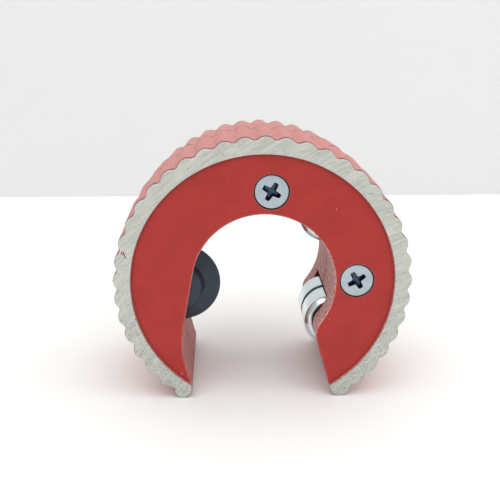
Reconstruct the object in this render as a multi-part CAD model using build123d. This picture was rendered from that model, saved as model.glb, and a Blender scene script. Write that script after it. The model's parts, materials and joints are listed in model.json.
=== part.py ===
from build123d import *
import os
from math import atan2, cos, degrees, hypot, radians, sin, tan

os.makedirs("parts", exist_ok=True)

# Millimetres. The cutter stands on its two leg tips on z = 0, the ring's axis runs along Y,
# the front face looks towards -Y and the halves meet on y = 0.

# Ring
crest_radius = 28.1
valley_radius = 27.45
lobe_radius = 2.1
lobe_count = 45
first_crest_angle = -46.5
rear_shrink = 0.966
width = 27.0
ring_height = 23.3

# Throat and mouth, from the ring's centre
throat_radius = 13.5
throat_x = 0.15
throat_z = 0.13
left_wall_tilt = 10.3
left_mouth_tilt = 13.6
right_mouth_tilt = 15.6
left_bend_z = -12.6
left_bend_radius = 20.0
mouth_right_x = 7.26
nose_radius = 3.7
left_tip_radius = 1.7
right_tip_radius = 1.95
foot_flat = 0.8

# Faces and seam
rim_inner_radius = 24.9
face_recess = 0.55
face_edge_radius = 0.28
seam_depth = 0.15
seam_half_width = 0.08

# Rollers
roller_radius = 5.25
roller_length = 13.5
roller_places = {"upper": (12.5, 11.6), "lower": (14.0, -10.35)}
roller_groove_width = 1.1
roller_groove_depth = 0.5
roller_chamfer = 0.8
pocket_radius = 6.1
pocket_half_width = 7.8
pin_radius = 1.5
pin_half_length = 10.5
washer_radius = 2.6
washer_gap = 0.1
running_gap = 0.04
slip_gap = 0.02

# Cutter wheel, at its stop
cutter_x = -16.25
cutter_z = -4.05
cutter_radius = 8.15
hub_radius = 4.4
hub_foot_radius = 4.95
hub_half_width = 3.2
flank_half_width = 1.6
edge_half_width = 0.06
spindle_radius = 1.1
spindle_half_length = 7.8

# Sliders, which run up the slot behind the wheel
slot_tilt = 5.74
slot_travel = 10.0
eye_radius = 1.6
slider_inner = 3.5
slider_outer = 8.0
slider_left = 6.0
slider_top = 3.2
slider_gap = 0.1
tongue_from = 2.4
tongue_to = 4.6
tongue_height = 1.4
stop_gap = 0.05
window_above = 2.5
window_reach = 4.0

# Springs
spring_radius = 1.8
wire_radius = 0.25
spring_length = 15.0
spring_turns = 8
spring_offset = 0.8
spring_y = 5.8
spigot_radius = 1.15
spigot_length = 1.6

# Screws and dowels
screw_places = {"top": (1.39, 17.85, 60.0), "side": (17.71, 0.6, 31.0)}
screw_head_radius = 3.1
screw_radius = 1.5
screw_sunk = 0.12
screw_head_land = 0.3
screw_end_y = 9.5
screw_hole_gap = 0.15
cross_reach = 1.85
cross_width = 0.95
cross_depth = 1.5
dowel_radius = 1.25
dowel_half_length = 4.0
dowel_places = {"left_leg": (-19.2, -15.5), "right_leg": (16.4, -18.6), "crown": (-10.4, 18.0)}

half_width = width / 2
face_y = half_width - face_recess


def slab(sketch, low_y, high_y):
    """A sketch in ring coordinates (x, z from the ring's centre), as a solid between two y."""
    return Pos(0, high_y, ring_height) * extrude(Plane.XZ * sketch, amount=high_y - low_y)


def disc(x, z, radius):
    return Pos(x, z) * Circle(radius)


def along_slot(along, across=0.0):
    """A point from the cutter's rest place: so far up the slot, so far towards the throat."""
    tilt = radians(slot_tilt)
    x = cutter_x - along * sin(tilt) + across * cos(tilt)
    z = cutter_z + along * cos(tilt) + across * sin(tilt)
    return x, z


def slot_box(low_along, high_along, low_across, high_across):
    corners = [
        along_slot(low_along, low_across),
        along_slot(low_along, high_across),
        along_slot(high_along, high_across),
        along_slot(high_along, low_across),
    ]
    return make_face(Polyline(*corners, close=True))


def swept_disc(radius):
    """The room that a disc on the cutter's axis needs over the slot's travel."""
    low, high = disc(*along_slot(0), radius), disc(*along_slot(slot_travel), radius)
    return low + high + slot_box(0, slot_travel, -radius, radius)


def scalloped_disc():
    """Round lobes joined by smaller round valleys, each tangent to the next."""
    half_pitch = radians(180 / lobe_count)
    lobe_centre = crest_radius - lobe_radius
    spread = 2 * lobe_centre * (1 - cos(half_pitch))
    inset = valley_radius - lobe_centre
    valley_arc = (inset**2 + spread * valley_radius - lobe_radius**2) / (
        2 * lobe_radius - 2 * inset - spread
    )
    valley_centre = valley_radius + valley_arc
    share = lobe_radius / (lobe_radius + valley_arc)
    joint_x = lobe_centre + share * (valley_centre * cos(half_pitch) - lobe_centre)
    joint_z = share * valley_centre * sin(half_pitch)
    joint_radius = hypot(joint_x, joint_z)
    joint_angle = degrees(atan2(joint_z, joint_x))
    pitch = 360 / lobe_count

    def place(radius, angle):
        return radius * cos(radians(angle)), radius * sin(radians(angle))

    edges = []
    for lobe in range(lobe_count):
        crest = first_crest_angle + lobe * pitch
        start, end = place(joint_radius, crest - joint_angle), place(joint_radius, crest + joint_angle)
        onward = place(joint_radius, crest + pitch - joint_angle)
        edges.append(ThreePointArc(start, place(crest_radius, crest), end))
        edges.append(ThreePointArc(end, place(valley_radius, crest + pitch / 2), onward))
    return make_face(Curve() + edges)


def left_wall():
    """Where the left side of the throat leaves its circle, and where it bends into the mouth."""
    lean = radians(left_wall_tilt)
    touch = (throat_x - throat_radius * cos(lean), throat_z + throat_radius * sin(lean))
    bend = (touch[0] - (touch[1] - left_bend_z) * tan(lean), left_bend_z)
    return touch, bend


def mouth_point(top, z, tilt):
    """The point at that height on a mouth side that starts at top."""
    return top[0] + (top[1] - z) * tan(radians(tilt)), z


def throat_and_mouth():
    """The round throat, run into a mouth whose two sides lean the same way."""
    touch, bend = left_wall()
    right_top = (mouth_right_x, 0)
    floor = -2 * crest_radius
    left_foot = mouth_point(bend, floor, left_mouth_tilt)
    right_foot = mouth_point(right_top, floor, right_mouth_tilt)
    mouth = Polyline(touch, bend, left_foot, right_foot, right_top, (throat_x, throat_z), close=True)
    shape = make_face(mouth) + disc(throat_x, throat_z, throat_radius)
    shape = fillet(shape.vertices().sort_by_distance(Vector(*bend))[0], left_bend_radius)
    nose = Vector(throat_x + throat_radius * cos(radians(-45)), throat_radius * sin(radians(-45)))
    return fillet(shape.vertices().sort_by_distance(nose)[0], nose_radius)


def tip(side):
    """Centre, radius and wall tilt of a leg's round tip, tangent to that side (-1 left) of the mouth."""
    if side < 0:
        radius, top, tilt = left_tip_radius, left_wall()[1], left_mouth_tilt
    else:
        radius, top, tilt = right_tip_radius, (mouth_right_x, 0), right_mouth_tilt
    z = -ring_height + (radius**2 - (foot_flat / 2) ** 2) ** 0.5
    x = mouth_point(top, z, tilt)[0] + side * radius / cos(radians(tilt))
    return (x, z), radius, tilt


def tip_disc(side):
    (x, z), radius, _ = tip(side)
    return disc(x, z, radius)


def ring_outline():
    """The whole C, with its leg tips, as seen along the ring's axis."""
    ring = scalloped_disc() - throat_and_mouth()
    for side in (-1, 1):
        (x, z), radius, tilt = tip(side)
        level = z - side * radius * sin(radians(tilt))
        below = Rectangle(crest_radius, crest_radius, align=(Align.CENTER, Align.MAX))
        ring -= Pos(side * crest_radius / 2, level) * below
        ring += tip_disc(side)
    ground = Rectangle(4 * crest_radius, crest_radius, align=(Align.CENTER, Align.MAX))
    return ring - Pos(0, -ring_height) * ground


def rounded_slab(ring, side, height):
    """The C from just off the seam to that height, its outline rounded at the top."""
    low, high = sorted((side * seam_half_width, side * height))
    block = slab(ring, low, high)
    top = block.edges().filter_by_position(Axis.Y, side * height - 0.01, side * height + 0.01)
    return fillet(top, face_edge_radius)


def rear_envelope():
    """What the rear grip may fill: the scallops narrow towards the back, and the leg tips don't."""
    shrink = face_edge_radius / crest_radius
    stations = [
        (0, 1),
        (half_width - face_edge_radius, rear_shrink),
        (half_width, rear_shrink - shrink),
    ]
    grip = scalloped_disc()
    outlines = [Pos(0, y, ring_height) * (Plane.XZ * scale(grip, share)) for y, share in stations]
    envelope = loft(outlines[:2], ruled=True) + loft(outlines[1:], ruled=True)
    for tip_side in (-1, 1):
        envelope += slab(tip_disc(tip_side), 0, half_width)
    return envelope


def half_shell(ring, side):
    """One casting, side -1 in front or 1 behind, with its recessed face and its inner rooms."""
    def between(sketch, near, far):
        """A solid between two distances from the seam, on this half's side."""
        low, high = sorted((side * near, side * far))
        return slab(sketch, low, high)

    rim = rounded_slab(ring, side, half_width) - between(disc(0, 0, rim_inner_radius), 0, half_width + 1)
    shell = rounded_slab(ring, side, face_y) + rim
    shell += between(offset(ring, -seam_depth), 0, seam_half_width)
    if side > 0:
        shell = shell & rear_envelope()

    for x, z in roller_places.values():
        shell -= between(disc(x, z, pocket_radius), 0, pocket_half_width)
        shell -= between(disc(x, z, pin_radius + slip_gap), 0, pin_half_length + slip_gap)
    for x, z in dowel_places.values():
        shell -= between(disc(x, z, dowel_radius + slip_gap), 0, dowel_half_length + slip_gap)
    shell -= cutter_room(between)
    return shell


def cutter_room(between):
    """Room for the wheel's disc and hub, the slider with its tongue, and the spring."""
    room = between(swept_disc(cutter_radius + 0.25), 0, flank_half_width + 0.2)
    room += between(swept_disc(hub_foot_radius + 0.35), 0, hub_half_width + 0.35)
    slider_end = slot_travel + slider_top + slider_gap
    channel = slot_box(-eye_radius - stop_gap, slider_end, -slider_left - slider_gap, eye_radius + slider_gap)
    window = slot_box(-eye_radius - stop_gap, window_above, 0, window_reach)
    room += between(channel + window, 0, slider_outer + slider_gap)
    groove = slot_box(-eye_radius, slider_end, -tongue_to - slider_gap, -tongue_from + slider_gap)
    room += between(groove, slider_outer, slider_outer + tongue_height + slider_gap)
    reach = spring_radius + 0.2
    trough_end = slider_top + spring_length + slip_gap
    trough = slot_box(slider_top, trough_end, -spring_offset - reach, -spring_offset + reach)
    return room + between(trough, 0, spring_y + reach)


def screw_rooms(shell, side):
    for x, z, _ in screw_places.values():
        if side < 0:
            head_y = -face_y + screw_sunk
            shell -= slab(disc(x, z, screw_radius + screw_hole_gap), -face_y - 1, 1)
            land = disc(x, z, screw_head_radius + screw_hole_gap)
            shell -= slab(land, -face_y - 1, head_y + screw_head_land)
            drop = screw_head_radius - screw_radius
            seat = Cone(screw_head_radius + screw_hole_gap, screw_radius + screw_hole_gap, drop)
            place = Pos(x, head_y + screw_head_land + drop / 2, ring_height + z)
            shell -= place * Rot(X=-90) * seat
        else:
            shell -= slab(disc(x, z, screw_radius + slip_gap), -1, screw_end_y + 1)
    return shell


def screw(x, z, cross_angle):
    """A countersunk machine screw with a cross recess, its head just under the front face."""
    head_y = -face_y + screw_sunk
    drop = screw_head_radius - screw_radius
    body = slab(disc(x, z, screw_head_radius), head_y, head_y + screw_head_land)
    cone = Cone(screw_head_radius, screw_radius, drop)
    body += Pos(x, head_y + screw_head_land + drop / 2, ring_height + z) * Rot(X=-90) * cone
    body += slab(disc(x, z, screw_radius), head_y + screw_head_land, screw_end_y)
    for turn in (cross_angle, cross_angle + 90):
        mouth = Rot(Z=turn) * Rectangle(2 * cross_reach, cross_width)
        floor = Rot(Z=turn) * Rectangle(cross_width, cross_width / 2)
        body -= loft([facing(x, head_y, z) * mouth, facing(x, head_y + cross_depth, z) * floor])
    return body


def facing(x, y, z):
    """A plane at that point of the ring that looks towards -Y."""
    return Plane(origin=(x, y, ring_height + z), x_dir=(1, 0, 0), z_dir=(0, -1, 0))


def turned(profile, x, z):
    """A turned piece: profile points are (radius, y), spun about the axis through x, z."""
    face = make_face(Polyline(*profile, close=True))
    return Pos(x, 0, ring_height + z) * revolve(face, Axis.Y)


def roller(x, z):
    half, bore = roller_length / 2, pin_radius + running_gap
    groove, floor = roller_groove_width / 2, roller_radius - roller_groove_depth
    profile = [
        (bore, -half),
        (roller_radius - roller_chamfer, -half),
        (roller_radius, -half + roller_chamfer),
        (roller_radius, -groove),
        (floor, -groove),
        (floor, groove),
        (roller_radius, groove),
        (roller_radius, half - roller_chamfer),
        (roller_radius - roller_chamfer, half),
        (bore, half),
    ]
    return turned(profile, x, z)


def washer(x, z, side):
    near = roller_length / 2 + washer_gap
    far = pocket_half_width - slip_gap
    low, high = sorted((side * near, side * far))
    return slab(disc(x, z, washer_radius) - disc(x, z, pin_radius + slip_gap), low, high)


def cutter_wheel():
    """Hub and sharp-edged disc, the same on both sides."""
    bore = spindle_radius + running_gap
    half_profile = [
        (bore, hub_half_width),
        (hub_radius - 0.2, hub_half_width),
        (hub_radius, hub_half_width - 0.2),
        (hub_foot_radius, flank_half_width),
        (cutter_radius, edge_half_width),
    ]
    mirrored = [(radius, -y) for radius, y in reversed(half_profile)]
    return turned(half_profile + mirrored, cutter_x, cutter_z)


def slider(side):
    """A block that carries one end of the spindle, with a tongue and a spigot for the spring."""
    def between(sketch, near, far):
        low, high = sorted((side * near, side * far))
        return slab(sketch, low, high)

    body = slot_box(-eye_radius, slider_top, -slider_left, 0) + slot_box(0, slider_top, 0, eye_radius)
    body += disc(*along_slot(0), eye_radius)
    block = between(body, slider_inner, slider_outer)
    tongue = slot_box(-eye_radius + 0.3, slider_top - 0.2, -tongue_to, -tongue_from)
    block += between(tongue, slider_outer, slider_outer + tongue_height)
    block -= between(disc(*along_slot(0), spindle_radius + slip_gap), slider_inner - 1, slider_outer + 1)
    spigot = Cylinder(spigot_radius, spigot_length, align=(Align.CENTER, Align.CENTER, Align.MIN))
    return block + spring_axis(side, slider_top) * spigot


def spring_axis(side, along):
    """A plane across the spring's axis, so far up the slot."""
    x, z = along_slot(along, -spring_offset)
    upwards = (-sin(radians(slot_tilt)), 0, cos(radians(slot_tilt)))
    return Plane(origin=(x, side * spring_y, ring_height + z), x_dir=(0, 1, 0), z_dir=upwards)


def spring(side):
    """An open helix between the slider's top and the trough's end."""
    turn_radius = spring_radius - wire_radius
    height = spring_length - 2 * wire_radius - 2 * slip_gap
    path = Helix(pitch=height / spring_turns, height=height, radius=turn_radius)
    wire = Plane(origin=path @ 0, z_dir=path % 0) * Circle(wire_radius)
    coil = sweep(wire, path=path, is_frenet=True)
    return spring_axis(side, slider_top + wire_radius + slip_gap) * coil


def write(shape, name):
    export_step(shape, f"parts/{name}.step")
    print(name, "solids", len(shape.solids()), "volume", round(shape.volume, 1))


ring = ring_outline()
for name, side in (("front", -1), ("rear", 1)):
    write(screw_rooms(half_shell(ring, side), side), f"{name}_shell")
    write(slider(side), f"{name}_slider")
    write(spring(side), f"{name}_spring")
for name, (x, z) in roller_places.items():
    write(roller(x, z), f"{name}_roller")
    write(slab(disc(x, z, pin_radius), -pin_half_length, pin_half_length), f"{name}_roller_pin")
    write(washer(x, z, -1), f"{name}_front_washer")
    write(washer(x, z, 1), f"{name}_rear_washer")
for name, (x, z, angle) in screw_places.items():
    write(screw(x, z, angle), f"{name}_screw")
for name, (x, z) in dowel_places.items():
    write(slab(disc(x, z, dowel_radius), -dowel_half_length, dowel_half_length), f"{name}_dowel")
write(cutter_wheel(), "cutter_wheel")
spindle = slab(disc(cutter_x, cutter_z, spindle_radius), -spindle_half_length, spindle_half_length)
write(spindle, "cutter_spindle")
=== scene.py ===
# A ring pipe cutter on a pale table: looks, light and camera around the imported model
import bpy
import json
import numpy as np
from math import cos, radians, sin
from mathutils import Matrix, Vector


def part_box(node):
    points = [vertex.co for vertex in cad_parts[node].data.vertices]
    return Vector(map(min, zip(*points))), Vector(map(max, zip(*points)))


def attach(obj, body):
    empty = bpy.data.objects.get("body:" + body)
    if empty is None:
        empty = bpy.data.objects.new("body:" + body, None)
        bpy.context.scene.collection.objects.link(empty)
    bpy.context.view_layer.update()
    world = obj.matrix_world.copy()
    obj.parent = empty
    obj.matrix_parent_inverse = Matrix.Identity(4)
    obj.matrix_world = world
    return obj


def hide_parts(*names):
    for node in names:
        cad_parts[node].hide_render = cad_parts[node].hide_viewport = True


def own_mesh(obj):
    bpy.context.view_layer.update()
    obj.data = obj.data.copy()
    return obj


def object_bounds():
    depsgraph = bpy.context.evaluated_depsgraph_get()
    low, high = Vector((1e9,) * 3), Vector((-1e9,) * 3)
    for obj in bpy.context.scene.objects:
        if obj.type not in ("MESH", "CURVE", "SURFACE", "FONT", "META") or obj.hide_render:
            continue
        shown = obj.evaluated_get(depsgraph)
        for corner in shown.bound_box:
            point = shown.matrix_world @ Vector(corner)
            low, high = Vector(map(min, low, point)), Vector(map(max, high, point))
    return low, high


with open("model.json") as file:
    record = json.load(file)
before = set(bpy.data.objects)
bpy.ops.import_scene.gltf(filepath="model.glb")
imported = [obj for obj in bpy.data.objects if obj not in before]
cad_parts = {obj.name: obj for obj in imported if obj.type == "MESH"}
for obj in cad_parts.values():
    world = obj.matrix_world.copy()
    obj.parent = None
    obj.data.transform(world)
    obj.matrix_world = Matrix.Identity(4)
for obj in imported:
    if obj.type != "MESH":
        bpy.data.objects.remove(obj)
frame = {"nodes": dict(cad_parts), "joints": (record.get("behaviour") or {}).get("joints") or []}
cadLow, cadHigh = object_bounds()
mm = 0.001
ringRadius = (cadHigh.x - cadLow.x) / 2
ringHeight = cadHigh.z - ringRadius  # height of the ring's axis over the table
frontY = cadLow.y
jointAt = {joint["name"]: joint.get("pos_m") for joint in frame["joints"]}
print("frame loaded:", len(frame["nodes"]), "nodes, ring radius", round(ringRadius, 5))


# Meshes


# Quads between neighbouring rows and columns of a grid of points. The columns close up into a
# ring, and the rows do as well where closeRows is set
def gridPiece(name, points, closeRows=False):
    rows, columns = points.shape[:2]
    rowAt = np.arange(rows if closeRows else rows - 1)[:, None]
    columnAt = np.arange(columns)[None, :]
    nextRow, nextColumn = (rowAt + 1) % rows, (columnAt + 1) % columns
    corners = [
        rowAt * columns + columnAt,
        rowAt * columns + nextColumn,
        nextRow * columns + nextColumn,
        nextRow * columns + columnAt,
    ]
    faces = np.stack([np.broadcast_to(corner, corners[2].shape) for corner in corners], -1)
    mesh = bpy.data.meshes.new(name)
    mesh.from_pydata(points.reshape(-1, 3).tolist(), [], faces.reshape(-1, 4).tolist())
    mesh.shade_smooth()
    piece = bpy.data.objects.new(name, mesh)
    bpy.context.scene.collection.objects.link(piece)
    return piece


# A closed outline whose corners are replaced by arcs: each arc starts and ends at the same
# distance from its corner, and follows the quadratic curve that the corner pulls
def softOutline(corners, softness, steps=5):
    corners = np.array(corners, float)
    before, after = np.roll(corners, 1, 0), np.roll(corners, -1, 0)
    toBefore, toAfter = before - corners, after - corners
    lengthBefore = np.linalg.norm(toBefore, axis=1, keepdims=True)
    lengthAfter = np.linalg.norm(toAfter, axis=1, keepdims=True)
    reach = np.minimum(softness, 0.45 * np.minimum(lengthBefore, lengthAfter))
    start = corners + toBefore / lengthBefore * reach
    end = corners + toAfter / lengthAfter * reach
    share = np.linspace(0, 1, steps)[None, :, None]
    curve = (1 - share) ** 2 * start[:, None] + share**2 * end[:, None]
    curve = curve + 2 * share * (1 - share) * corners[:, None]
    return curve.reshape(-1, 2)


# A closed outline of (radius, y) in mm, carried round an axis along Y through centre
def turnedPiece(name, outline, centre, around=128):
    angle = np.linspace(0, 2 * np.pi, around, endpoint=False)[None, :]
    radius, y = outline[:, :1] * mm, outline[:, 1:] * mm
    x = centre[0] + radius * np.cos(angle)
    z = centre[2] + radius * np.sin(angle)
    points = np.stack([x, np.broadcast_to(centre[1] + y, x.shape), z], -1)
    return gridPiece(name, points, closeRows=True)


# A round wire along a path: at each path point a circle in the plane across the path, whose
# first axis is the sideways vector made square to the path
def wirePiece(name, path, wireRadius, sideways, around=14):
    along = np.gradient(path, axis=0)
    along /= np.linalg.norm(along, axis=1, keepdims=True)
    first = sideways - (sideways * along).sum(1, keepdims=True) * along
    first /= np.linalg.norm(first, axis=1, keepdims=True)
    second = np.cross(along, first)
    angle = np.linspace(0, 2 * np.pi, around, endpoint=False)[None, :, None]
    ring = np.cos(angle) * first[:, None] + np.sin(angle) * second[:, None]
    points = path[:, None] + ring * wireRadius
    start = path[None, :1].repeat(around, 1)
    end = path[None, -1:].repeat(around, 1)
    points = np.concatenate([start, points, end])
    return gridPiece(name, points)


# Shader nodes


def put(tree, kind, inputs=None, **settings):
    node = tree.nodes.new("ShaderNode" + kind)
    for name, value in settings.items():
        setattr(node, name, value)
    for key, value in (inputs or {}).items():
        if isinstance(value, bpy.types.NodeSocket):
            tree.links.new(value, node.inputs[key])
        else:
            node.inputs[key].default_value = value
    return node


def calc(tree, operation, first, second=0.0, third=0.0):
    inputs = {0: first, 1: second, 2: third}
    return put(tree, "Math", inputs, operation=operation).outputs[0]


def times(tree, first, second):
    return calc(tree, "MULTIPLY", first, second)


# How far a point is from the axis that across and up are counted from
def distance(tree, across, up):
    square = calc(tree, "ADD", times(tree, across, across), times(tree, up, up))
    return calc(tree, "SQRT", square)


# 0 below low and 1 above high, with a soft step between
def step(tree, value, low, high):
    inputs = {"Value": value, "From Min": low, "From Max": high}
    return put(tree, "MapRange", inputs, interpolation_type="SMOOTHSTEP").outputs[0]


def blendColour(tree, share, under, over):
    node = put(tree, "Mix", {0: share}, data_type="RGBA")
    for socket, value in ((node.inputs[6], under), (node.inputs[7], over)):
        if isinstance(value, bpy.types.NodeSocket):
            tree.links.new(value, socket)
        else:
            socket.default_value = (*value, 1)
    return node.outputs[2]


# Lays a colour over another where mask is 1, as strongly as strength says
def cover(tree, mask, strength, under, over):
    return blendColour(tree, times(tree, mask, strength), under, over)


def blendValue(tree, share, under, over):
    return put(tree, "Mix", {0: share, 2: under, 3: over}, data_type="FLOAT").outputs[0]


def noise(tree, vector, scale, detail=3.0, roughness=0.5):
    inputs = {"Vector": vector, "Scale": scale, "Detail": detail, "Roughness": roughness}
    return put(tree, "TexNoise", inputs).outputs[0]


def groupOf(name, inputs, outputs):
    tree = bpy.data.node_groups.new(name, "ShaderNodeTree")
    sockets = tree.interface
    for socketName, default in inputs.items():
        socket = sockets.new_socket(name=socketName, in_out="INPUT", socket_type="NodeSocketFloat")
        socket.default_value = default
    for socketName in outputs:
        sockets.new_socket(name=socketName, in_out="OUTPUT", socket_type="NodeSocketFloat")
    return tree, tree.nodes.new("NodeGroupInput").outputs, tree.nodes.new("NodeGroupOutput").inputs


def useGroup(tree, group, inputs=None):
    node = tree.nodes.new("ShaderNodeGroup")
    node.node_tree = group
    for key, value in (inputs or {}).items():
        if isinstance(value, bpy.types.NodeSocket):
            tree.links.new(value, node.inputs[key])
        else:
            node.inputs[key].default_value = value
    return node.outputs


# Places on the ring in mm: across and up from its axis, along it, off the seam, and its radius;
# Inward is how far the surface looks towards the axis
def makeRingSpace():
    names = ["Across", "Up", "Along", "OffSeam", "Radius", "Inward"]
    tree, _, out = groupOf("ringSpace", {}, names)
    place = put(tree, "SeparateXYZ", {0: put(tree, "TexCoord").outputs["Object"]}).outputs
    across, along = times(tree, place[0], 1 / mm), times(tree, place[1], 1 / mm)
    up = times(tree, calc(tree, "SUBTRACT", place[2], ringHeight), 1 / mm)
    radius = distance(tree, across, up)
    trueNormal = put(tree, "NewGeometry").outputs["True Normal"]
    normal = put(tree, "SeparateXYZ", {0: trueNormal}).outputs
    outward = calc(tree, "ADD", times(tree, across, normal[0]), times(tree, up, normal[2]))
    inward = times(tree, calc(tree, "DIVIDE", outward, radius), -1)
    values = (across, up, along, calc(tree, "ABSOLUTE", along), radius, inward)
    for name, socket in zip(names, values):
        tree.links.new(socket, out[name])
    return tree


# Object coordinates in mm
def millimetres(tree):
    place = put(tree, "TexCoord").outputs["Object"]
    return put(tree, "Mapping", {"Vector": place, "Scale": (1 / mm, 1 / mm, 1 / mm)}).outputs[0]


# Edges, where the rounded normal leaves the true one, broken up by noise: the mask for worn edges and
# the painted highlights laid on them
def makeEdgeWearAndHighlight():
    tree, given, out = groupOf("edgeWearAndHighlight", {"Width": 0.2, "Breakup": 0.5}, ["Mask"])
    rounded = put(tree, "Bevel", {"Radius": times(tree, given["Width"], mm)}, samples=4).outputs[0]
    true = put(tree, "NewGeometry").outputs["True Normal"]
    likeness = put(tree, "VectorMath", {0: rounded, 1: true}, operation="DOT_PRODUCT").outputs[1]
    bend = calc(tree, "SUBTRACT", 1, likeness)
    rough = noise(tree, millimetres(tree), 1.6, 4, 0.6)
    gate = times(tree, calc(tree, "SUBTRACT", rough, 0.5), given["Breakup"])
    tree.links.new(step(tree, calc(tree, "ADD", bend, gate), 0.015, 0.11), out["Mask"])
    return tree


# Small hollows: cells whose middles are dark, kept only where a random colour allows them
def makePits():
    tree, given, out = groupOf("pits", {"Scale": 2.0, "Size": 0.2, "Share": 0.5}, ["Mask"])
    place = millimetres(tree)
    waves = put(tree, "TexNoise", {"Vector": place, "Scale": 0.9}).outputs[1]
    bent = put(tree, "VectorMath", {0: place, 1: waves}, operation="ADD").outputs[0]
    cells = put(tree, "TexVoronoi", {"Vector": bent, "Scale": given["Scale"]})
    inner = times(tree, given["Size"], 0.6)
    pit = calc(tree, "SUBTRACT", 1, step(tree, cells.outputs["Distance"], inner, given["Size"]))
    pick = put(tree, "SeparateColor", {0: cells.outputs["Color"]}).outputs[0]
    kept = calc(tree, "LESS_THAN", pick, given["Share"])
    tree.links.new(times(tree, pit, kept), out["Mask"])
    return tree


# Fine lines left by a tool: noise squeezed across the lines and drawn out along them. The
# lines are arcs round a far point, or rings and bands when that point is the piece's own axis
def makeToolLines():
    inputs = {"CentreX": 0.0, "CentreZ": 0.0, "Fineness": 4.0, "Reach": 0.1}
    tree, given, out = groupOf("toolLines", inputs, ["Lines", "Height"])
    place = put(tree, "SeparateXYZ", {0: millimetres(tree)}).outputs
    across = calc(tree, "SUBTRACT", place[0], given["CentreX"])
    up = calc(tree, "SUBTRACT", place[2], given["CentreZ"])
    radius = distance(tree, across, up)
    turn = calc(tree, "ARCTAN2", up, across)
    arc = times(tree, times(tree, turn, radius), given["Reach"])
    squeezed = times(tree, radius, given["Fineness"])
    layer = times(tree, place[1], given["Fineness"])
    vector = put(tree, "CombineXYZ", {0: squeezed, 1: arc, 2: layer}).outputs[0]
    fine = noise(tree, vector, 1.0, 5, 0.62)
    broad = noise(tree, vector, 0.23, 2, 0.5)
    lines = calc(tree, "ADD", times(tree, fine, 0.7), times(tree, broad, 0.3))
    tree.links.new(step(tree, lines, 0.36, 0.64), out["Lines"])
    tree.links.new(lines, out["Height"])
    return tree


ringSpace, edgeWearAndHighlight, pits, toolLines = makeRingSpace(), makeEdgeWearAndHighlight(), makePits(), makeToolLines()
print("shader groups ready")


def pitMask(tree, scale, size, share):
    return useGroup(tree, pits, {"Scale": scale, "Size": size, "Share": share})["Mask"]


def newMaterial(name):
    material = bpy.data.materials.new(name)
    material.use_nodes = True
    tree = material.node_tree
    return material, tree, tree.nodes["Principled BSDF"]


def bump(tree, height, strength, depth):
    inputs = {"Height": height, "Strength": strength, "Distance": depth * mm}
    return put(tree, "Bump", inputs).outputs[0]


def dress(nodes, material):
    for name in nodes:
        mesh = frame["nodes"][name].data
        mesh.materials.clear()
        mesh.materials.append(material)


# Red paint over cast zinc, ground bare on the rim. Grains give scale, detail and roughness;
# scuffs, pinholes and specks give scale, size and share. The grind's centre, the fleck's at and
# hookAt are places, and any other pair says where a mask starts and where it is full

castShell = {
    "paint": (0.43, 0.027, 0.021),
    # deeper paint, also used as the painted shadow under the rim's step
    "paintDeepAndShadow": (0.27, 0.014, 0.012),
    "paintShadow": (0.13, 0.008, 0.008),
    # pale paint for specks, also used as the painted highlight on edges
    "paintPaleAndHighlight": (0.80, 0.36, 0.31),
    # painted sheen on the grip
    "gripSheen": (0.70, 0.30, 0.265),
    # a paler, greyer red for patches on the inner walls
    "wallPatches": (0.46, 0.25, 0.23),
    "wallPale": (0.66, 0.47, 0.45),
    "bare": (0.67, 0.68, 0.63),
    "bareDark": (0.47, 0.48, 0.44),
    "pore": (0.10, 0.10, 0.095),
    "seam": (0.02, 0.014, 0.013),
    # painted shade in the rooms round the rollers and the screws
    "roomShade": (0.035, 0.012, 0.011),
    "grains": {
        "fine": (3.2, 3, 0.6),
        "broad": (0.22, 3, 0.55),
        "middle": (2.7, 2, 0.7),
        "sand": (9.0, 2, 0.6),
        "rim": (4.4, 2, 0.75),
    },
    "edges": {"Width": 0.35, "Breakup": 0.12},
    "inwardFrom": (0.25, 0.6),
    "outwardFrom": (-0.3, -0.7),
    "rightFrom": (4.0, 9.0),
    "towardsFront": (0.0, -12.0),
    # where the painted shadow under the rim's step starts and where it is full
    "rimStepShadow": (24.0, 24.9),
    "nearRim": (12.35, 12.7),
    "scuffs": (0.8, 0.13, 0.45),
    "pinholes": (0.55, 0.085, 0.4),
    "specks": (0.31, 0.05, 0.3),
    "rollerRoom": {"radius": 6.12, "off": (7.9, 7.8)},
    "screwRoom": {"radius": 3.3, "along": (-5.0, -6.0)},
    "bareFrom": 13.38,
    "lowOnLegs": (2.0, -16.0),
    "grindCentre": (63.5, -84.5),
    "grind": {"Fineness": 6.5, "Reach": 0.5},
    "grindLong": {"Fineness": 2.6, "Reach": 0.16},
    "pores": {"Scale": 2.2, "Size": 0.24},
    "poresFine": {"Scale": 4.4, "Size": 0.3},
    "fleck": {"at": (-25.62, 6.15), "slant": 0.24, "half": 0.52, "hookAt": (-0.33, 0.45), "hook": 0.24},
    "underWheel": {"up": (-17.5, -15.5), "across": (0.0, -8.0)},
}


def screwCentre(name):
    low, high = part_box(name)
    return ((low.x + high.x) / 2, low.y, (low.z + high.z) / 2)
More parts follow.
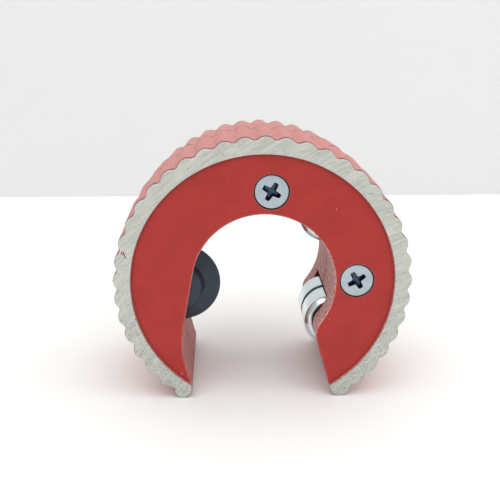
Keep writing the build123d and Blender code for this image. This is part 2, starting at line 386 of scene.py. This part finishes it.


# Paint: broad fading, painted shadow in a darker ring under the rim's step, a painted sheen on
# the grip, paler patches on the inner walls, pale paint and a painted highlight on edges, and a
# painted shadow line where the grip meets the rim
def paintColour(tree, look, space, grain, parts, holes):
    deepAndShadow, paleAndHighlight = look["paintDeepAndShadow"], look["paintPaleAndHighlight"]
    paint = blendColour(tree, step(tree, grain["broad"], 0.35, 0.7), look["paint"], deepAndShadow)
    paint = blendColour(tree, 0.72, paint, look["paint"])
    paint = cover(tree, step(tree, grain["middle"], 0.5, 0.68), 0.3, paint, deepAndShadow)
    # painted shadow: a darker ring of deep paint just inside the rim's step
    paint = cover(tree, step(tree, space["Radius"], *look["rimStepShadow"]), 0.75, paint, deepAndShadow)
    # painted sheen: the grip is lightened towards a pale red
    sheenShare = calc(tree, "MULTIPLY_ADD", step(tree, grain["fine"], 0.35, 0.6), 0.3, 0.42)
    paint = cover(tree, parts["grip"], sheenShare, paint, look["gripSheen"])
    scuffed = times(tree, pitMask(tree, *look["scuffs"]), parts["grip"])
    paint = cover(tree, scuffed, 0.7, paint, deepAndShadow)
    # paler, greyer patches on the inward-facing walls
    wallPatchShare = times(tree, parts["wall"], step(tree, grain["middle"], 0.33, 0.58))
    paint = cover(tree, wallPatchShare, 0.85, paint, look["wallPatches"])
    salted = times(tree, parts["rightWall"], step(tree, grain["middle"], 0.4, 0.6))
    forward = step(tree, space["Along"], *look["towardsFront"])
    paler = calc(tree, "MULTIPLY_ADD", forward, 0.35, 0.65)
    paint = cover(tree, salted, paler, paint, look["wallPale"])
    # edges get pale paint, partly worn and partly a painted highlight
    edges = useGroup(tree, edgeWearAndHighlight, look["edges"])["Mask"]
    paint = cover(tree, edges, 0.75, paint, paleAndHighlight)
    nearRim = times(tree, parts["grip"], step(tree, space["OffSeam"], *look["nearRim"]))
    paint = cover(tree, nearRim, 0.9, paint, look["paintShadow"])
    paint = cover(tree, holes, 0.7, paint, deepAndShadow)
    return cover(tree, pitMask(tree, *look["specks"]), 0.8, paint, paleAndHighlight)


# Painted shade: the rooms round the rollers and the screws are darkened
def shadeRooms(tree, look, space, paint):
    rollerRoom, screwRoom = look["rollerRoom"], look["screwRoom"]
    behind = step(tree, space["OffSeam"], *rollerRoom["off"])
    inFront = step(tree, space["Along"], *screwRoom["along"])
    rollerSpins = [jointAt["upper_roller_spin"], jointAt["lower_roller_spin"]]
    rooms = [(axis, rollerRoom["radius"], behind) for axis in rollerSpins]
    rooms += [(screwCentre(name), screwRoom["radius"], inFront) for name in ("top_screw", "side_screw")]
    for axis, radius, allowed in rooms:
        offX = calc(tree, "SUBTRACT", space["Across"], axis[0] / mm)
        offZ = calc(tree, "SUBTRACT", space["Up"], (axis[2] - ringHeight) / mm)
        inside = step(tree, distance(tree, offX, offZ), radius + 0.12, radius)
        paint = cover(tree, times(tree, inside, allowed), 0.85, paint, look["roomShade"])
    return paint


# Bare metal: grinding arcs and pores, more of them low on the legs
def metalLook(tree, look, space, grain):
    grindX, grindZ = look["grindCentre"]
    centre = {"CentreX": grindX, "CentreZ": grindZ + ringHeight / mm}
    grind = useGroup(tree, toolLines, {**centre, **look["grind"]})
    grindLong = useGroup(tree, toolLines, {**centre, **look["grindLong"]})
    streaks = times(tree, grind["Lines"], 0.62)
    streaks = calc(tree, "MULTIPLY_ADD", grindLong["Lines"], 0.38, streaks)
    metal = blendColour(tree, streaks, look["bareDark"], look["bare"])
    low = step(tree, space["Up"], *look["lowOnLegs"])
    poreShare = calc(tree, "MULTIPLY_ADD", low, 0.7, 0.14)
    pores = useGroup(tree, pits, {**look["pores"], "Share": poreShare})["Mask"]
    poresFine = useGroup(tree, pits, {**look["poresFine"], "Share": poreShare})["Mask"]
    pored = calc(tree, "MAXIMUM", pores, times(tree, poresFine, 0.8))
    sanded = calc(tree, "MULTIPLY_ADD", low, 0.32, 0.08)
    metal = cover(tree, step(tree, grain["rim"], 0.48, 0.36), sanded, metal, look["pore"])
    metal = cover(tree, pored, 0.85, metal, look["pore"])
    height = calc(tree, "SUBTRACT", times(tree, grind["Height"], 0.35), pored)
    return metal, streaks, height


# One curled fleck of paint left on the rim: a slanted stroke with a hook at its top
def fleckMask(tree, shape, space):
    x = calc(tree, "SUBTRACT", space["Across"], shape["at"][0])
    z = calc(tree, "SUBTRACT", space["Up"], shape["at"][1])
    offStroke = calc(tree, "ABSOLUTE", calc(tree, "MULTIPLY_ADD", z, shape["slant"], x))
    inLength = step(tree, calc(tree, "ABSOLUTE", z), shape["half"] + 0.1, shape["half"])
    stroke = times(tree, step(tree, offStroke, 0.12, 0.07), inLength)
    hookX = calc(tree, "SUBTRACT", x, shape["hookAt"][0])
    hookZ = calc(tree, "SUBTRACT", z, shape["hookAt"][1])
    offHook = calc(tree, "SUBTRACT", distance(tree, hookX, hookZ), shape["hook"])
    hook = step(tree, calc(tree, "ABSOLUTE", offHook), 0.1, 0.06)
    onFront = step(tree, space["Along"], -12.9, -13.1)
    return times(tree, calc(tree, "MAXIMUM", stroke, hook), onFront)


# The seam: a dark line that wanders and breaks, wider on the grip, the right wall and under the
# wheel
def seamMask(tree, look, space, place, parts):
    swing = calc(tree, "MULTIPLY_ADD", parts["grip"], 2.2, 0.22)
    wander = times(tree, calc(tree, "SUBTRACT", noise(tree, place, 0.5, 3), 0.5), swing)
    offLine = calc(tree, "ABSOLUTE", calc(tree, "ADD", space["Along"], wander))
    high = step(tree, space["Up"], *look["underWheel"]["up"])
    left = step(tree, space["Across"], *look["underWheel"]["across"])
    underWheel = times(tree, times(tree, high, left), parts["wall"])
    halfLine = calc(tree, "MULTIPLY_ADD", underWheel, 0.16, 0.14)
    wide = calc(tree, "MAXIMUM", parts["grip"], parts["rightWall"])
    halfLine = calc(tree, "MULTIPLY_ADD", wide, 0.13, halfLine)
    onLine = calc(tree, "SUBTRACT", 1, step(tree, calc(tree, "DIVIDE", offLine, halfLine), 0.75, 1.1))
    return times(tree, onLine, step(tree, noise(tree, place, 0.9, 2), 0.36, 0.5))


def makeCastShell(look):
    material, tree, shader = newMaterial("redPaintAndGroundRim")
    space = useGroup(tree, ringSpace)
    place = millimetres(tree)
    grain = {name: noise(tree, place, *values) for name, values in look["grains"].items()}
    wall = step(tree, space["Inward"], *look["inwardFrom"])
    parts = {
        "wall": wall,
        "grip": step(tree, space["Inward"], *look["outwardFrom"]),
        "rightWall": times(tree, wall, step(tree, space["Across"], *look["rightFrom"])),
    }
    pinholes = pitMask(tree, *look["pinholes"])
    paint = paintColour(tree, look, space, grain, parts, pinholes)
    paint = shadeRooms(tree, look, space, paint)
    metal, streaks, metalHeight = metalLook(tree, look, space, grain)

    # the paint's edge round the rim is ragged
    raggedness = calc(tree, "SUBTRACT", grain["fine"], 0.5)
    ragged = calc(tree, "MULTIPLY_ADD", raggedness, 0.16, space["OffSeam"])
    isBare = step(tree, ragged, look["bareFrom"], look["bareFrom"] + 0.05)
    colour = blendColour(tree, isBare, paint, metal)
    colour = blendColour(tree, fleckMask(tree, look["fleck"], space), colour, look["paintDeepAndShadow"])
    colour = blendColour(tree, seamMask(tree, look, space, place, parts), colour, look["seam"])
    tree.links.new(colour, shader.inputs["Base Color"])

    tree.links.new(times(tree, isBare, 0.55), shader.inputs["Metallic"])
    shader.inputs["Specular IOR Level"].default_value = 0.35
    paintRough = calc(tree, "MULTIPLY_ADD", grain["fine"], 0.2, blendValue(tree, wall, 0.34, 0.52))
    metalRough = calc(tree, "MULTIPLY_ADD", streaks, -0.12, 0.56)
    tree.links.new(blendValue(tree, isBare, paintRough, metalRough), shader.inputs["Roughness"])

    peel = calc(tree, "MULTIPLY_ADD", grain["sand"], 0.35, grain["fine"])
    paintHeight = calc(tree, "SUBTRACT", peel, times(tree, pinholes, 0.8))
    height = blendValue(tree, isBare, paintHeight, metalHeight)
    tree.links.new(bump(tree, height, 0.35, 0.12), shader.inputs["Normal"])
    return material


# Turned and polished steel, one look per kind of piece

# each edge colour is worn metal with a painted highlight on it
turnedSteel = {
    "roller": {
        "bright": (0.72, 0.79, 0.81),
        "dark": (0.48, 0.54, 0.57),
        "edge": (0.75, 0.77, 0.79),
        # painted shade in the roller's groove
        "grooveShade": (0.05, 0.07, 0.10),
        "metal": 1.0,
        "rough": 0.18,
        "fineness": 7.0,
        "bump": 0.08,
    },
    "pin": {
        "bright": (0.66, 0.67, 0.68),
        "dark": (0.42, 0.43, 0.44),
        "edge": (0.75, 0.77, 0.79),
        "metal": 1.0,
        "rough": 0.26,
        "fineness": 5.0,
        "bump": 0.15,
    },
    "cutter": {
        "bright": (0.064, 0.086, 0.116),
        "dark": (0.024, 0.033, 0.047),
        "edge": (0.20, 0.23, 0.26),
        "metal": 0.55,
        "rough": 0.36,
        "fineness": 2.6,
        "bump": 0.18,
    },
    "washer": {
        "bright": (0.74, 0.55, 0.24),
        "dark": (0.46, 0.31, 0.11),
        "edge": (0.9, 0.75, 0.45),
        "metal": 1.0,
        "rough": 0.3,
        "fineness": 4.0,
        "bump": 0.2,
    },
}


# A darker band of the given half width in mm either side of y = 0 is painted shade in the roller's
# groove
def makeTurnedSteel(name, look, centre, grooveShadeHalf=0.0):
    material, tree, shader = newMaterial(name)
    axis = {"CentreX": centre[0] / mm, "CentreZ": centre[2] / mm}
    marks = useGroup(tree, toolLines, {**axis, "Fineness": look["fineness"], "Reach": 0.05})
    place = millimetres(tree)
    smudge = noise(tree, place, 0.35, 3, 0.55)
    colour = blendColour(tree, marks["Lines"], look["dark"], look["bright"])
    colour = blendColour(tree, 0.6, colour, look["bright"])
    # edges get a lighter colour: worn metal with a painted highlight
    edges = useGroup(tree, edgeWearAndHighlight, {"Width": 0.16, "Breakup": 0.3})["Mask"]
    colour = cover(tree, edges, 0.35, colour, look["edge"])
    specks = pitMask(tree, 1.1, 0.07, 0.4)
    colour = cover(tree, specks, 0.6, colour, look["dark"])
    # painted shade in the groove
    if grooveShadeHalf:
        offMiddle = calc(tree, "ABSOLUTE", put(tree, "SeparateXYZ", {0: place}).outputs[1])
        inGrooveShade = step(tree, offMiddle, grooveShadeHalf + 0.15, grooveShadeHalf + 0.1)
        colour = blendColour(tree, inGrooveShade, colour, look["grooveShade"])
    tree.links.new(colour, shader.inputs["Base Color"])
    shader.inputs["Metallic"].default_value = look["metal"]
    rough = calc(tree, "MULTIPLY_ADD", smudge, 0.22, look["rough"] - 0.08)
    tree.links.new(rough, shader.inputs["Roughness"])
    height = calc(tree, "SUBTRACT", marks["Height"], specks)
    tree.links.new(bump(tree, height, look["bump"], 0.06), shader.inputs["Normal"])
    return material


# Plated or oiled steel without turning marks

# each edge colour is worn metal with a painted highlight on it
plainSteel = {
    "screw": {
        "bright": (0.46, 0.52, 0.57),
        "dark": (0.34, 0.39, 0.44),
        "edge": (0.9, 0.92, 0.93),
        # a painted highlight on the rim of the cross, then painted shade inside it
        "rim": (0.92, 0.95, 0.97),
        "recess": (0.05, 0.075, 0.115),
        "rough": 0.3,
        "grain": 0.9,
        "bump": 0.1,
    },
    "slider": {
        "bright": (0.40, 0.41, 0.43),
        "dark": (0.20, 0.205, 0.21),
        "edge": (0.9, 0.92, 0.93),
        "rough": 0.38,
        "grain": 2.4,
        "bump": 0.3,
    },
    "spring": {
        "bright": (0.48, 0.49, 0.52),
        "dark": (0.24, 0.245, 0.26),
        "edge": (0.9, 0.92, 0.93),
        "rough": 0.28,
        "grain": 3.0,
        "bump": 0.12,
    },
}


# A recess that starts at darkFrom, in mm along Y, gets a painted highlight on its rim and painted shade
# from 0.1 mm down
def makePlainSteel(name, look, darkFrom=None):
    material, tree, shader = newMaterial(name)
    place = millimetres(tree)
    cloud = noise(tree, place, look["grain"], 4, 0.6)
    fine = noise(tree, place, look["grain"] * 6, 2, 0.5)
    colour = blendColour(tree, step(tree, cloud, 0.32, 0.62), look["dark"], look["bright"])
    colour = blendColour(tree, 0.5, colour, look["bright"])
    # edges get a lighter colour: worn metal with a painted highlight
    edges = useGroup(tree, edgeWearAndHighlight, {"Width": 0.12, "Breakup": 0.2})["Mask"]
    colour = cover(tree, edges, 0.6, colour, look["edge"])
    if darkFrom is not None:
        along = put(tree, "SeparateXYZ", {0: place}).outputs[1]
        # painted highlight on the recess rim, then painted shade inside it
        rim = step(tree, along, darkFrom + 0.01, darkFrom + 0.06)
        colour = blendColour(tree, rim, colour, look["rim"])
        recess = step(tree, along, darkFrom + 0.1, darkFrom + 0.45)
        colour = blendColour(tree, recess, colour, look["recess"])
    tree.links.new(colour, shader.inputs["Base Color"])
    shader.inputs["Metallic"].default_value = 1.0
    rough = calc(tree, "MULTIPLY_ADD", cloud, 0.25, look["rough"] - 0.1)
    tree.links.new(rough, shader.inputs["Roughness"])
    height = calc(tree, "ADD", cloud, fine)
    tree.links.new(bump(tree, height, look["bump"], 0.05), shader.inputs["Normal"])
    return material


shellMaterial = makeCastShell(castShell)
dress(("front_shell", "rear_shell"), shellMaterial)
dowelMaterial = makeTurnedSteel("dowelSteel", turnedSteel["pin"], (0, 0, 0))
dress(("left_leg_dowel", "right_leg_dowel", "crown_dowel"), dowelMaterial)
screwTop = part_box("top_screw")[0].y / mm
screwMaterial = makePlainSteel("brightZincPlate", plainSteel["screw"], screwTop)
sliderMaterial = makePlainSteel("oiledSteel", plainSteel["slider"])
springMaterial = makePlainSteel("springWire", plainSteel["spring"])
dress(("front_slider", "rear_slider"), sliderMaterial)
print("body materials ready")


# Countersunk screws: a turned outline carried round the screw's axis, whose top sinks inside the
# cross. Each arm of the cross is deepest along its middle and rises to its sides and its end;
# endWall is how many side walls wide the rise to its end is

screwShape = {
    "head": 3.1,
    "land": 0.3,
    "shank": 1.5,
    "end": 9.5,
    "endBreak": 0.25,
    "arm": 1.85,
    "armHalf": 0.66,
    "armTaper": 0.12,
    "crossDepth": 1.3,
    "wall": 0.24,
    "endWall": 2.2,
    "wallCurve": 0.8,
    "faceRings": 90,
    "around": 256,
    "turns": {"top_screw": 60.0, "side_screw": 31.0},
}


def makeScrew(name, shape):
    centreX, _, centreZ = screwCentre(name)
    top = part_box(name)[0].y / mm
    drop = shape["head"] - shape["shank"]
    shoulder = top + shape["land"]
    lower = [
        (0.0, shape["end"]),
        (shape["shank"] - shape["endBreak"], shape["end"]),
        (shape["shank"], shape["end"] - shape["endBreak"]),
        (shape["shank"], shoulder + drop),
        (shape["head"], shoulder),
        (shape["head"], top + 0.1),
        (shape["head"] - 0.03, top + 0.03),
        (shape["head"] - 0.1, top),
    ]
    inward = np.linspace(shape["head"] - 0.16, 0, shape["faceRings"])
    face = np.stack([inward, np.full(len(inward), top)], 1)
    outline = np.concatenate([np.array(lower), face])
    angle = np.linspace(0, 2 * np.pi, shape["around"], endpoint=False)[None, :]
    radius, y = outline[:, :1], np.broadcast_to(outline[:, 1:], (len(outline), shape["around"]))
    x, z = radius * np.cos(angle), radius * np.sin(angle)
    turn = radians(shape["turns"][name])
    u, v = x * cos(turn) + z * sin(turn), z * cos(turn) - x * sin(turn)
    depth = np.zeros_like(x)
    for along, across in ((u, v), (v, u)):
        armHalf = shape["armHalf"] - shape["armTaper"] * abs(along)
        side = np.clip((armHalf - abs(across)) / shape["wall"], 0, 1)
        end = np.clip((shape["arm"] - abs(along)) / (shape["endWall"] * shape["wall"]), 0, 1)
        curve = shape["wallCurve"]
        depth = np.maximum(depth, shape["crossDepth"] * side**curve * end**curve)
    y = y + depth * (y <= top)
    points = np.stack([centreX + x * mm, y * mm, centreZ + z * mm], -1)
    screw = gridPiece(name + "_turned", points)
    screw.data.materials.append(screwMaterial)
    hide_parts(name)
    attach(screw, "housing")


for screwName in screwShape["turns"]:
    makeScrew(screwName, screwShape)
print("screws ready")


# Rollers, with their pins and washers

rollerShape = {
    "bore": 1.54,
    "boreLand": 0.9,
    "groove": 1.1,
    "grooveDepth": 0.5,
    "chamfer": 0.8,
    "dish": 0.22,
    "dishRadius": 3.4,
    "softness": 0.12,
}


def makeRoller(name, shape):
    low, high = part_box(name)
    half = (high.y - low.y) / 2 / mm
    radius = (high.x - low.x) / 2 / mm
    centre = jointAt[name + "_spin"]
    grooveHalf, floor = shape["groove"] / 2, radius - shape["grooveDepth"]
    side = [
        (shape["bore"], half),
        (shape["bore"] + shape["boreLand"], half),
        (shape["bore"] + shape["boreLand"] + 0.15, half - shape["dish"]),
        (shape["dishRadius"], half - shape["dish"]),
        (shape["dishRadius"] + 0.15, half),
        (radius - shape["chamfer"], half),
        (radius, half - shape["chamfer"]),
        (radius, grooveHalf + 0.12),
        (floor, grooveHalf - 0.12),
    ]
    outline = side + [(r, -y) for r, y in reversed(side)]
    roller = turnedPiece(name + "_turned", softOutline(outline[::-1], shape["softness"]), centre)
    rollerMaterial = makeTurnedSteel(name + "Steel", turnedSteel["roller"], centre, grooveHalf)
    roller.data.materials.append(rollerMaterial)
    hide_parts(name)
    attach(roller, name)
    pinMaterial = makeTurnedSteel(name + "PinSteel", turnedSteel["pin"], centre)
    washerMaterial = makeTurnedSteel(name + "WasherBrass", turnedSteel["washer"], centre)
    prefix = name.split("_")[0]
    dress([name + "_pin"], pinMaterial)
    dress([prefix + "_front_washer", prefix + "_rear_washer"], washerMaterial)


for rollerName in ("upper_roller", "lower_roller"):
    makeRoller(rollerName, rollerShape)
print("rollers ready")


# The cutting wheel on its spindle

wheelShape = {
    "bore": 1.14,
    "hub": 4.4,
    "hubBreak": 0.2,
    "hubFoot": 4.95,
    "hubHalf": 3.2,
    "flankHalf": 1.6,
    "bevel": 0.5,
    "bevelSlope": 0.42,
    "edgeHalf": 0.02,
    "softness": 0.1,
    "around": 192,
}


def makeWheel(shape):
    low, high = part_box("cutter_wheel")
    radius = (high.z - low.z) / 2 / mm
    centre = jointAt["cutter_spin"]
    side = [
        (shape["bore"], shape["hubHalf"] - 0.12),
        (shape["bore"] + 0.12, shape["hubHalf"]),
        (shape["hub"] - shape["hubBreak"], shape["hubHalf"]),
        (shape["hub"], shape["hubHalf"] - shape["hubBreak"]),
        (shape["hubFoot"], shape["flankHalf"]),
        (radius - shape["bevel"], shape["bevel"] * shape["bevelSlope"]),
        (radius - 0.01, shape["edgeHalf"]),
    ]
    outline = side + [(r, -y) for r, y in reversed(side)]
    softened = softOutline(outline[::-1], shape["softness"])
    wheel = turnedPiece("cutter_wheel_turned", softened, centre, shape["around"])
    wheel.data.materials.append(makeTurnedSteel("blackenedSteel", turnedSteel["cutter"], centre))
    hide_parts("cutter_wheel")
    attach(wheel, "cutter_wheel")
    dress(["cutter_spindle"], makeTurnedSteel("spindleSteel", turnedSteel["pin"], centre))


makeWheel(wheelShape)
print("cutting wheel ready")


# Springs: an open helix whose end turns lie flat, along the slot that the carriage slides in

springShape = {
    "coil": 1.5,
    "wire": 0.25,
    "turns": 9.0,
    "flatTurns": 1.0,
    "flatGap": 1.02,
    "pointsPerTurn": 40,
}


def makeSpring(name, shape):
    low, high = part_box(name)
    slide = next(joint for joint in frame["joints"] if joint["name"] == "cutter_slide")
    up = np.array(slide["axis"], float)
    up /= np.linalg.norm(up)
    middle = (np.array(low) + np.array(high)) / 2
    coil, wire = shape["coil"] * mm, shape["wire"] * mm
    length = (high.z - low.z - 2 * coil * abs(up[0])) / up[2] - 2 * wire
    turn = np.linspace(0, shape["turns"], int(shape["turns"] * shape["pointsPerTurn"]))
    turns, flatTurns = shape["turns"], shape["flatTurns"]
    closed = 2 * wire * shape["flatGap"]
    rise = np.clip((turn - flatTurns) / (turns - 2 * flatTurns), 0, 1)
    flat = np.clip(turn, 0, flatTurns) + np.clip(turn - turns + flatTurns, 0, None)
    height = closed * flat + rise * (length - 2 * closed * flatTurns)
    side = np.array([0.0, 1.0, 0.0])
    other = np.cross(up, side)
    angle = 2 * np.pi * turn[:, None]
    radial = np.cos(angle) * side + np.sin(angle) * other
    path = middle + up * (height - length / 2)[:, None] + coil * radial
    spring = wirePiece(name + "_coil", path, wire, radial)
    spring.data.materials.append(springMaterial)
    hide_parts(name)
    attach(spring, "housing")
    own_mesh(spring)


for springName in ("front_spring", "rear_spring"):
    makeSpring(springName, springShape)
print("springs ready")


# Table, backdrop, light and camera

studio = {
    "table": (0.915, 0.925, 0.915),
    "backdrop": (0.81, 0.815, 0.81),
    "backdropY": 0.1515,
    "size": 3.0,
    "worldStrength": 0.6,
    "lights": {
        "above": {"at": (0.0, -0.04, 0.55), "size": 0.9, "watts": 3.4},
        "front": {"at": (-0.3, -0.55, 0.35), "size": 0.6, "watts": 0.4},
        "right": {"at": (0.5, -0.1, 0.35), "size": 0.4, "watts": 0.35},
    },
    "aim": (0.0, 0.0, 0.025),
}


# A flat rectangle with a faintly mottled surface
def makePlane(name, corners, colour):
    mesh = bpy.data.meshes.new(name)
    mesh.from_pydata(corners, [], [(0, 1, 2, 3)])
    plane = bpy.data.objects.new(name, mesh)
    bpy.context.scene.collection.objects.link(plane)
    material, tree, shader = newMaterial(name + "Matte")
    mottle = noise(tree, millimetres(tree), 0.012, 3, 0.5)
    shade = tuple(0.97 * channel for channel in colour)
    tree.links.new(blendColour(tree, mottle, shade, colour), shader.inputs["Base Color"])
    shader.inputs["Roughness"].default_value = 0.7
    mesh.materials.append(material)


def makeStudio(look):
    size, wall = look["size"], look["backdropY"]
    front = [(-size, -size, 0), (size, -size, 0)]
    foot = [(-size, wall, 0), (size, wall, 0)]
    top = [(-size, wall, size), (size, wall, size)]
    makePlane("table", front + foot[::-1], look["table"])
    makePlane("backdrop", foot + top[::-1], look["backdrop"])
    world = bpy.data.worlds.new("paleRoom")
    world.use_nodes = True
    background = world.node_tree.nodes["Background"].inputs
    background["Color"].default_value = (1, 1, 1, 1)
    background["Strength"].default_value = look["worldStrength"]
    bpy.context.scene.world = world
    for name, lamp in look["lights"].items():
        light = bpy.data.lights.new(name + "Softbox", "AREA")
        light.size = lamp["size"]
        light.energy = lamp["watts"]
        softbox = bpy.data.objects.new(name + "Softbox", light)
        softbox.location = lamp["at"]
        towards = np.array(look["aim"]) - np.array(lamp["at"])
        softbox.rotation_mode = "QUATERNION"
        softbox.rotation_quaternion = Vector(towards).to_track_quat("-Z", "Y")
        bpy.context.scene.collection.objects.link(softbox)
    bpy.context.scene.view_settings.view_transform = "Standard"


# The camera's place is counted from the ring's axis at its front face. It looks along +Y turned
# by yaw towards +X, and down by pitch; the angles are in degrees

camera = {
    "at": (-0.0076, -0.1345, 0.0505),
    "yaw": 2.154,
    "pitch": 17.892,
    "roll": 0.211,
    "lens": 55.2,
    "sensor": 36.0,
}


def makeCamera(look):
    yaw, pitch, roll = (radians(look[name]) for name in ("yaw", "pitch", "roll"))
    forward = np.array((sin(yaw) * cos(pitch), cos(yaw) * cos(pitch), -sin(pitch)))
    level = np.array((cos(yaw), -sin(yaw), 0.0))
    up = np.cross(level, forward)
    right = cos(roll) * level + sin(roll) * up
    up = np.cross(right, forward)
    data = bpy.data.cameras.new("camera")
    data.lens, data.sensor_width = look["lens"], look["sensor"]
    data.clip_start = 0.01
    viewer = bpy.data.objects.new("camera", data)
    bpy.context.scene.collection.objects.link(viewer)
    origin = np.array((0, frontY, ringHeight)) + np.array(look["at"])
    columns = np.stack([right, up, -forward, origin], 1)
    viewer.matrix_world = Matrix(np.vstack([columns, (0, 0, 0, 1)]).tolist())
    bpy.context.scene.camera = viewer


makeStudio(studio)
makeCamera(camera)
print("studio ready")
